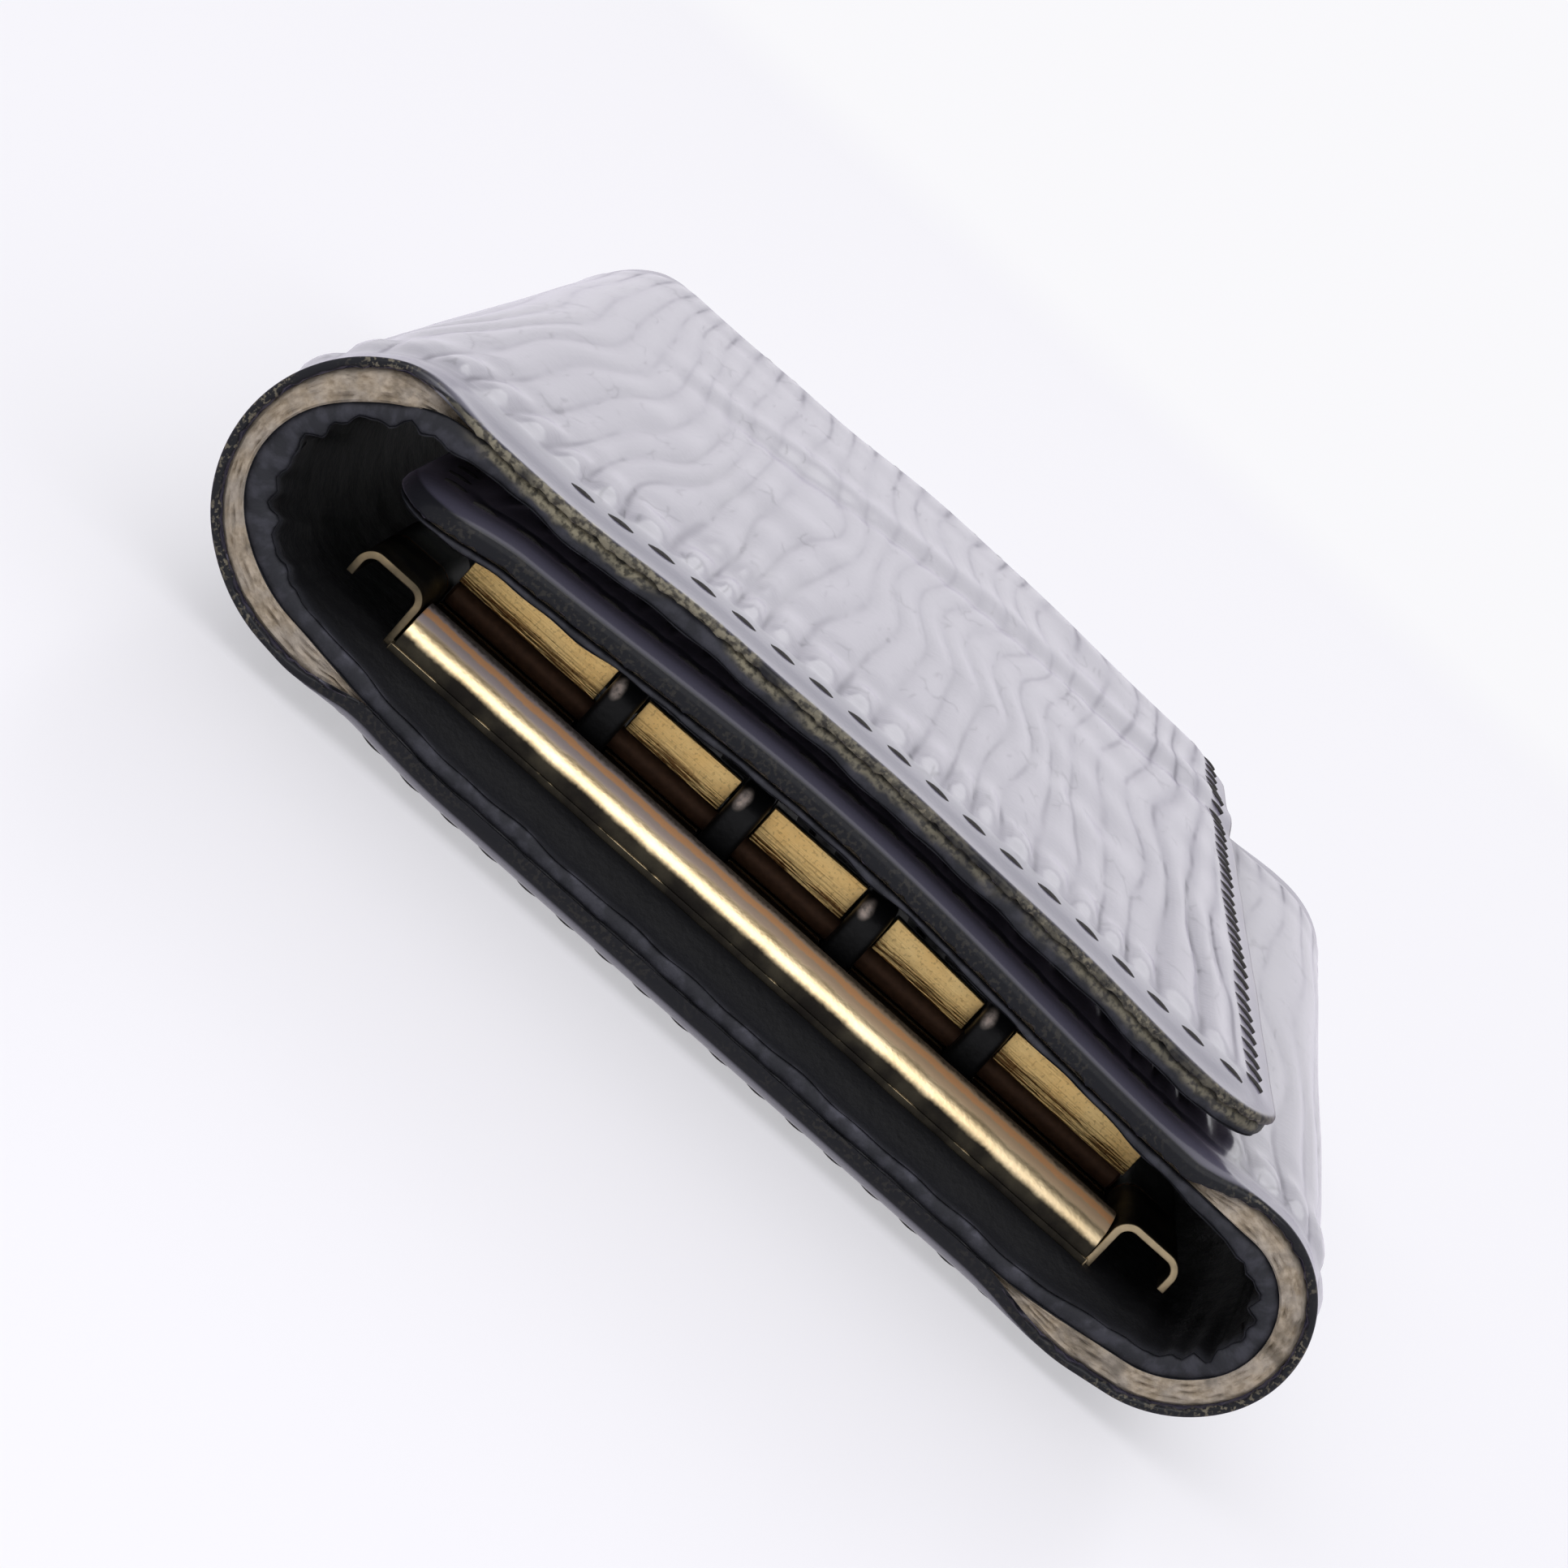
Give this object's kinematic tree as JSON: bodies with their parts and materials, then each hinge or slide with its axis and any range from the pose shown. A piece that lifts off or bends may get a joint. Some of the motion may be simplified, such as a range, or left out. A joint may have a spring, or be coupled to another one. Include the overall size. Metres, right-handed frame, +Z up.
{
  "type": "key case",
  "caption": "Folding leather key case, shut: two flaps over a back panel, and a rolled brass fitting inside with a row of gated key hooks.",
  "frame": {"origin": "under the middle of the shut case, on the face it rests on", "axes": "+X across the case to the fold of the inner flap, +Y along the folds away from the hook fitting, +Z up from the back panel to the front flap"},
  "size_m": [0.07, 0.102, 0.0157],
  "materials": {
    "grained_leather": "dark navy grained leather, glossy, worn on the wrinkles",
    "tan_core": "tan fibrous core, seen only at cut edges",
    "navy_lining": "smooth dark navy grey lining leather, satin",
    "aged_brass": "polished brass with brown wear",
    "dark_steel": "black coated steel, rubbed bright on top",
    "plain_steel": "plain spring steel"
  },
  "bodies": {
    "back_panel": {"back_skin": "grained_leather", "back_core": "tan_core", "back_lining": "navy_lining", "mounting_plate": "aged_brass", "hook_plate": "aged_brass", "hook_rod": "dark_steel", "plate_rivets": "aged_brass"},
    "left_fold": {"left_fold_skin": "grained_leather", "left_fold_core": "tan_core", "left_fold_lining": "navy_lining"},
    "front_flap": {"front_flap_skin": "grained_leather", "front_flap_core": "tan_core", "front_flap_lining": "navy_lining", "snap_cap": "plain_steel", "snap_socket": "aged_brass"},
    "right_fold": {"right_fold_skin": "grained_leather", "right_fold_core": "tan_core", "right_fold_lining": "navy_lining"},
    "inner_flap": {"inner_flap_skin": "grained_leather", "inner_flap_core": "tan_core", "inner_flap_lining": "navy_lining", "snap_stud": "aged_brass", "snap_post": "aged_brass"},
    "hook_body_1": {"hook_1": "dark_steel", "gate_pin_1": "plain_steel", "gate_spring_1": "plain_steel"},
    "gate_body_1": {"gate_1": "dark_steel"},
    "hook_body_2": {"hook_2": "dark_steel", "gate_pin_2": "plain_steel", "gate_spring_2": "plain_steel"},
    "gate_body_2": {"gate_2": "dark_steel"},
    "hook_body_3": {"hook_3": "dark_steel", "gate_pin_3": "plain_steel", "gate_spring_3": "plain_steel"},
    "gate_body_3": {"gate_3": "dark_steel"},
    "hook_body_4": {"hook_4": "dark_steel", "gate_pin_4": "plain_steel", "gate_spring_4": "plain_steel"},
    "gate_body_4": {"gate_4": "dark_steel"}
  },
  "joints": [
    {"name": "left_fold_hinge", "type": "hinge", "parent": "back_panel", "child": "left_fold", "pos_m": [-0.0327, 0, 0.0023], "axis": [0, -1, 0], "range_deg": [0, 90]},
    {"name": "front_flap_hinge", "type": "hinge", "parent": "left_fold", "child": "front_flap", "pos_m": [-0.0327, 0, 0.0134], "axis": [0, -1, 0], "range_deg": [0, 90]},
    {"name": "right_fold_hinge", "type": "hinge", "parent": "back_panel", "child": "right_fold", "pos_m": [0.03323, 0, 0.00177], "axis": [0, 1, 0], "range_deg": [0, 90]},
    {"name": "inner_flap_hinge", "type": "hinge", "parent": "right_fold", "child": "inner_flap", "pos_m": [0.03323, 0, 0.01033], "axis": [0, 1, 0], "range_deg": [0, 90]},
    {"name": "hook_swing_1", "type": "hinge", "parent": "back_panel", "child": "hook_body_1", "pos_m": [-0.012, -0.039, 0.00535], "axis": [1, 0, 0], "range_deg": [0, 7.5]},
    {"name": "gate_swing_1", "type": "hinge", "parent": "hook_body_1", "child": "gate_body_1", "pos_m": [-0.00915, -0.02892, 0.00396], "axis": [0, 0, 1], "range_deg": [0, 15], "stiffness_Nm_per_rad": 0.01, "springref_deg": -8.59, "deforming": ["gate_spring_1"]},
    {"name": "hook_swing_2", "type": "hinge", "parent": "back_panel", "child": "hook_body_2", "pos_m": [-0.0034, -0.039, 0.00535], "axis": [1, 0, 0], "range_deg": [0, 7.5]},
    {"name": "gate_swing_2", "type": "hinge", "parent": "hook_body_2", "child": "gate_body_2", "pos_m": [-0.00055, -0.02892, 0.00396], "axis": [0, 0, 1], "range_deg": [0, 15], "stiffness_Nm_per_rad": 0.01, "springref_deg": -8.59, "deforming": ["gate_spring_2"]},
    {"name": "hook_swing_3", "type": "hinge", "parent": "back_panel", "child": "hook_body_3", "pos_m": [0.0052, -0.039, 0.00535], "axis": [1, 0, 0], "range_deg": [0, 7.5]},
    {"name": "gate_swing_3", "type": "hinge", "parent": "hook_body_3", "child": "gate_body_3", "pos_m": [0.00805, -0.02892, 0.00396], "axis": [0, 0, 1], "range_deg": [0, 15], "stiffness_Nm_per_rad": 0.01, "springref_deg": -8.59, "deforming": ["gate_spring_3"]},
    {"name": "hook_swing_4", "type": "hinge", "parent": "back_panel", "child": "hook_body_4", "pos_m": [0.0138, -0.039, 0.00535], "axis": [1, 0, 0], "range_deg": [0, 7.5]},
    {"name": "gate_swing_4", "type": "hinge", "parent": "hook_body_4", "child": "gate_body_4", "pos_m": [0.01665, -0.02892, 0.00396], "axis": [0, 0, 1], "range_deg": [0, 15], "stiffness_Nm_per_rad": 0.01, "springref_deg": -8.59, "deforming": ["gate_spring_4"]}
  ],
  "couplings": [
    {"joint": "front_flap_hinge", "follows": "left_fold_hinge", "ratio": 1},
    {"joint": "right_fold_hinge", "follows": "left_fold_hinge", "ratio": 0.14},
    {"joint": "inner_flap_hinge", "follows": "left_fold_hinge", "ratio": 0.14}
  ]
}
